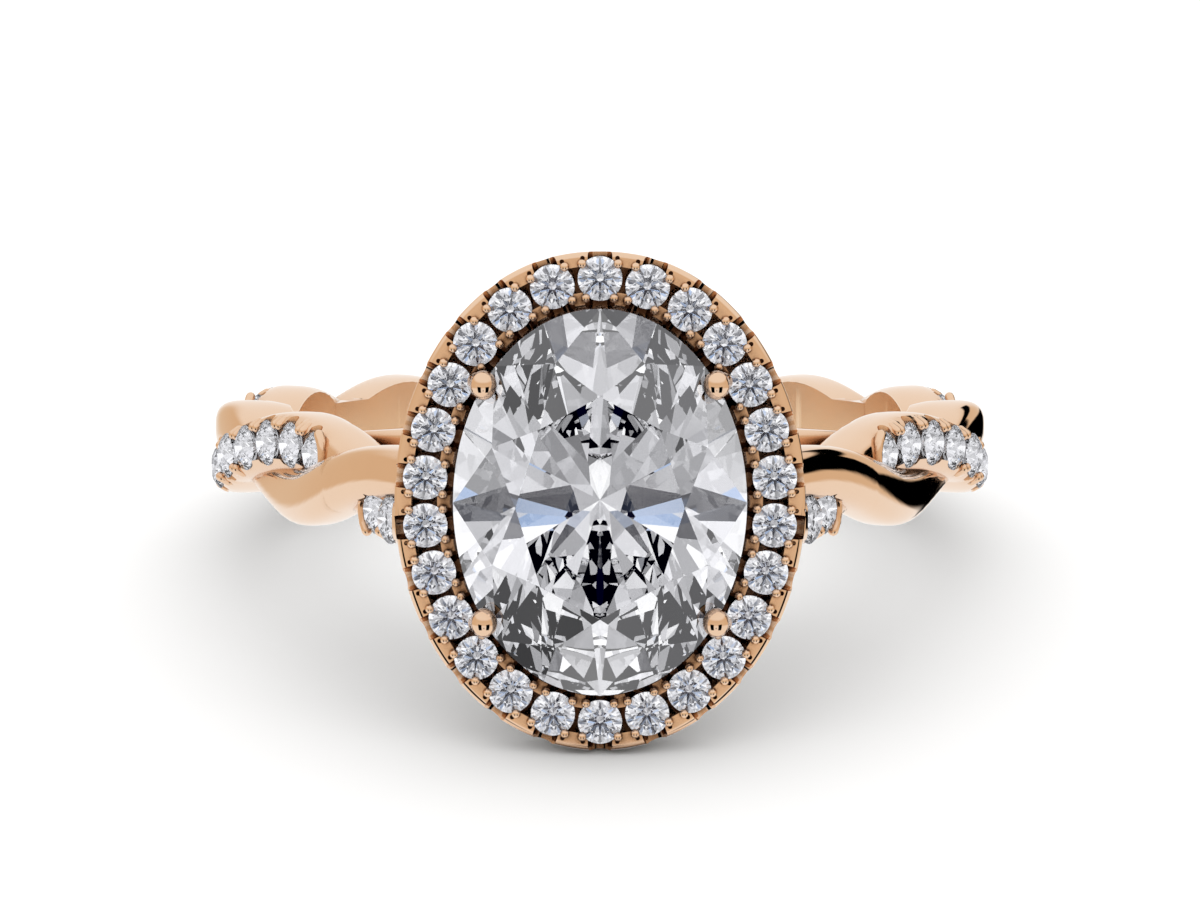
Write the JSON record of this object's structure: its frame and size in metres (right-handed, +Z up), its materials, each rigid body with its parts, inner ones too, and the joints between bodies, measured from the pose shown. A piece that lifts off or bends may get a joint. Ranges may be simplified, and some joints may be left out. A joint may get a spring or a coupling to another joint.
{
  "type": "twisted shank ring with oval halo head",
  "caption": "Finger ring with a two-strand twisted shank, pave rows on one strand and an oval stone in a halo of round stones.",
  "frame": {"origin": "middle of the bounding box at its base, on the surface that the ring lies on", "axes": "+Z up from the surface, -Y the way the head with its stones faces, +X to the right when facing the head. The finger hole leans from +Z towards +Y by the resting tilt"},
  "size_m": [0.0206, 0.0254, 0.0115],
  "materials": {
    "rose_gold": "high polish rose gold, 14 karat",
    "centre_diamond": "polished facets, colourless",
    "small_diamond": "polished facets, colourless"
  },
  "bodies": {
    "root": {"ring_metal": "rose_gold", "centre_stone": "centre_diamond", "halo_stone_1": "small_diamond", "halo_stone_2": "small_diamond", "halo_stone_3": "small_diamond", "halo_stone_4": "small_diamond", "halo_stone_5": "small_diamond", "halo_stone_6": "small_diamond", "halo_stone_7": "small_diamond", "halo_stone_8": "small_diamond", "halo_stone_9": "small_diamond", "halo_stone_10": "small_diamond", "halo_stone_11": "small_diamond", "halo_stone_12": "small_diamond", "halo_stone_13": "small_diamond", "halo_stone_14": "small_diamond", "halo_stone_15": "small_diamond", "halo_stone_16": "small_diamond", "halo_stone_17": "small_diamond", "halo_stone_18": "small_diamond", "halo_stone_19": "small_diamond", "halo_stone_20": "small_diamond", "halo_stone_21": "small_diamond", "halo_stone_22": "small_diamond", "halo_stone_23": "small_diamond", "halo_stone_24": "small_diamond", "halo_stone_25": "small_diamond", "halo_stone_26": "small_diamond", "pave_left": "small_diamond", "pave_right": "small_diamond"}
  },
  "joints": []
}
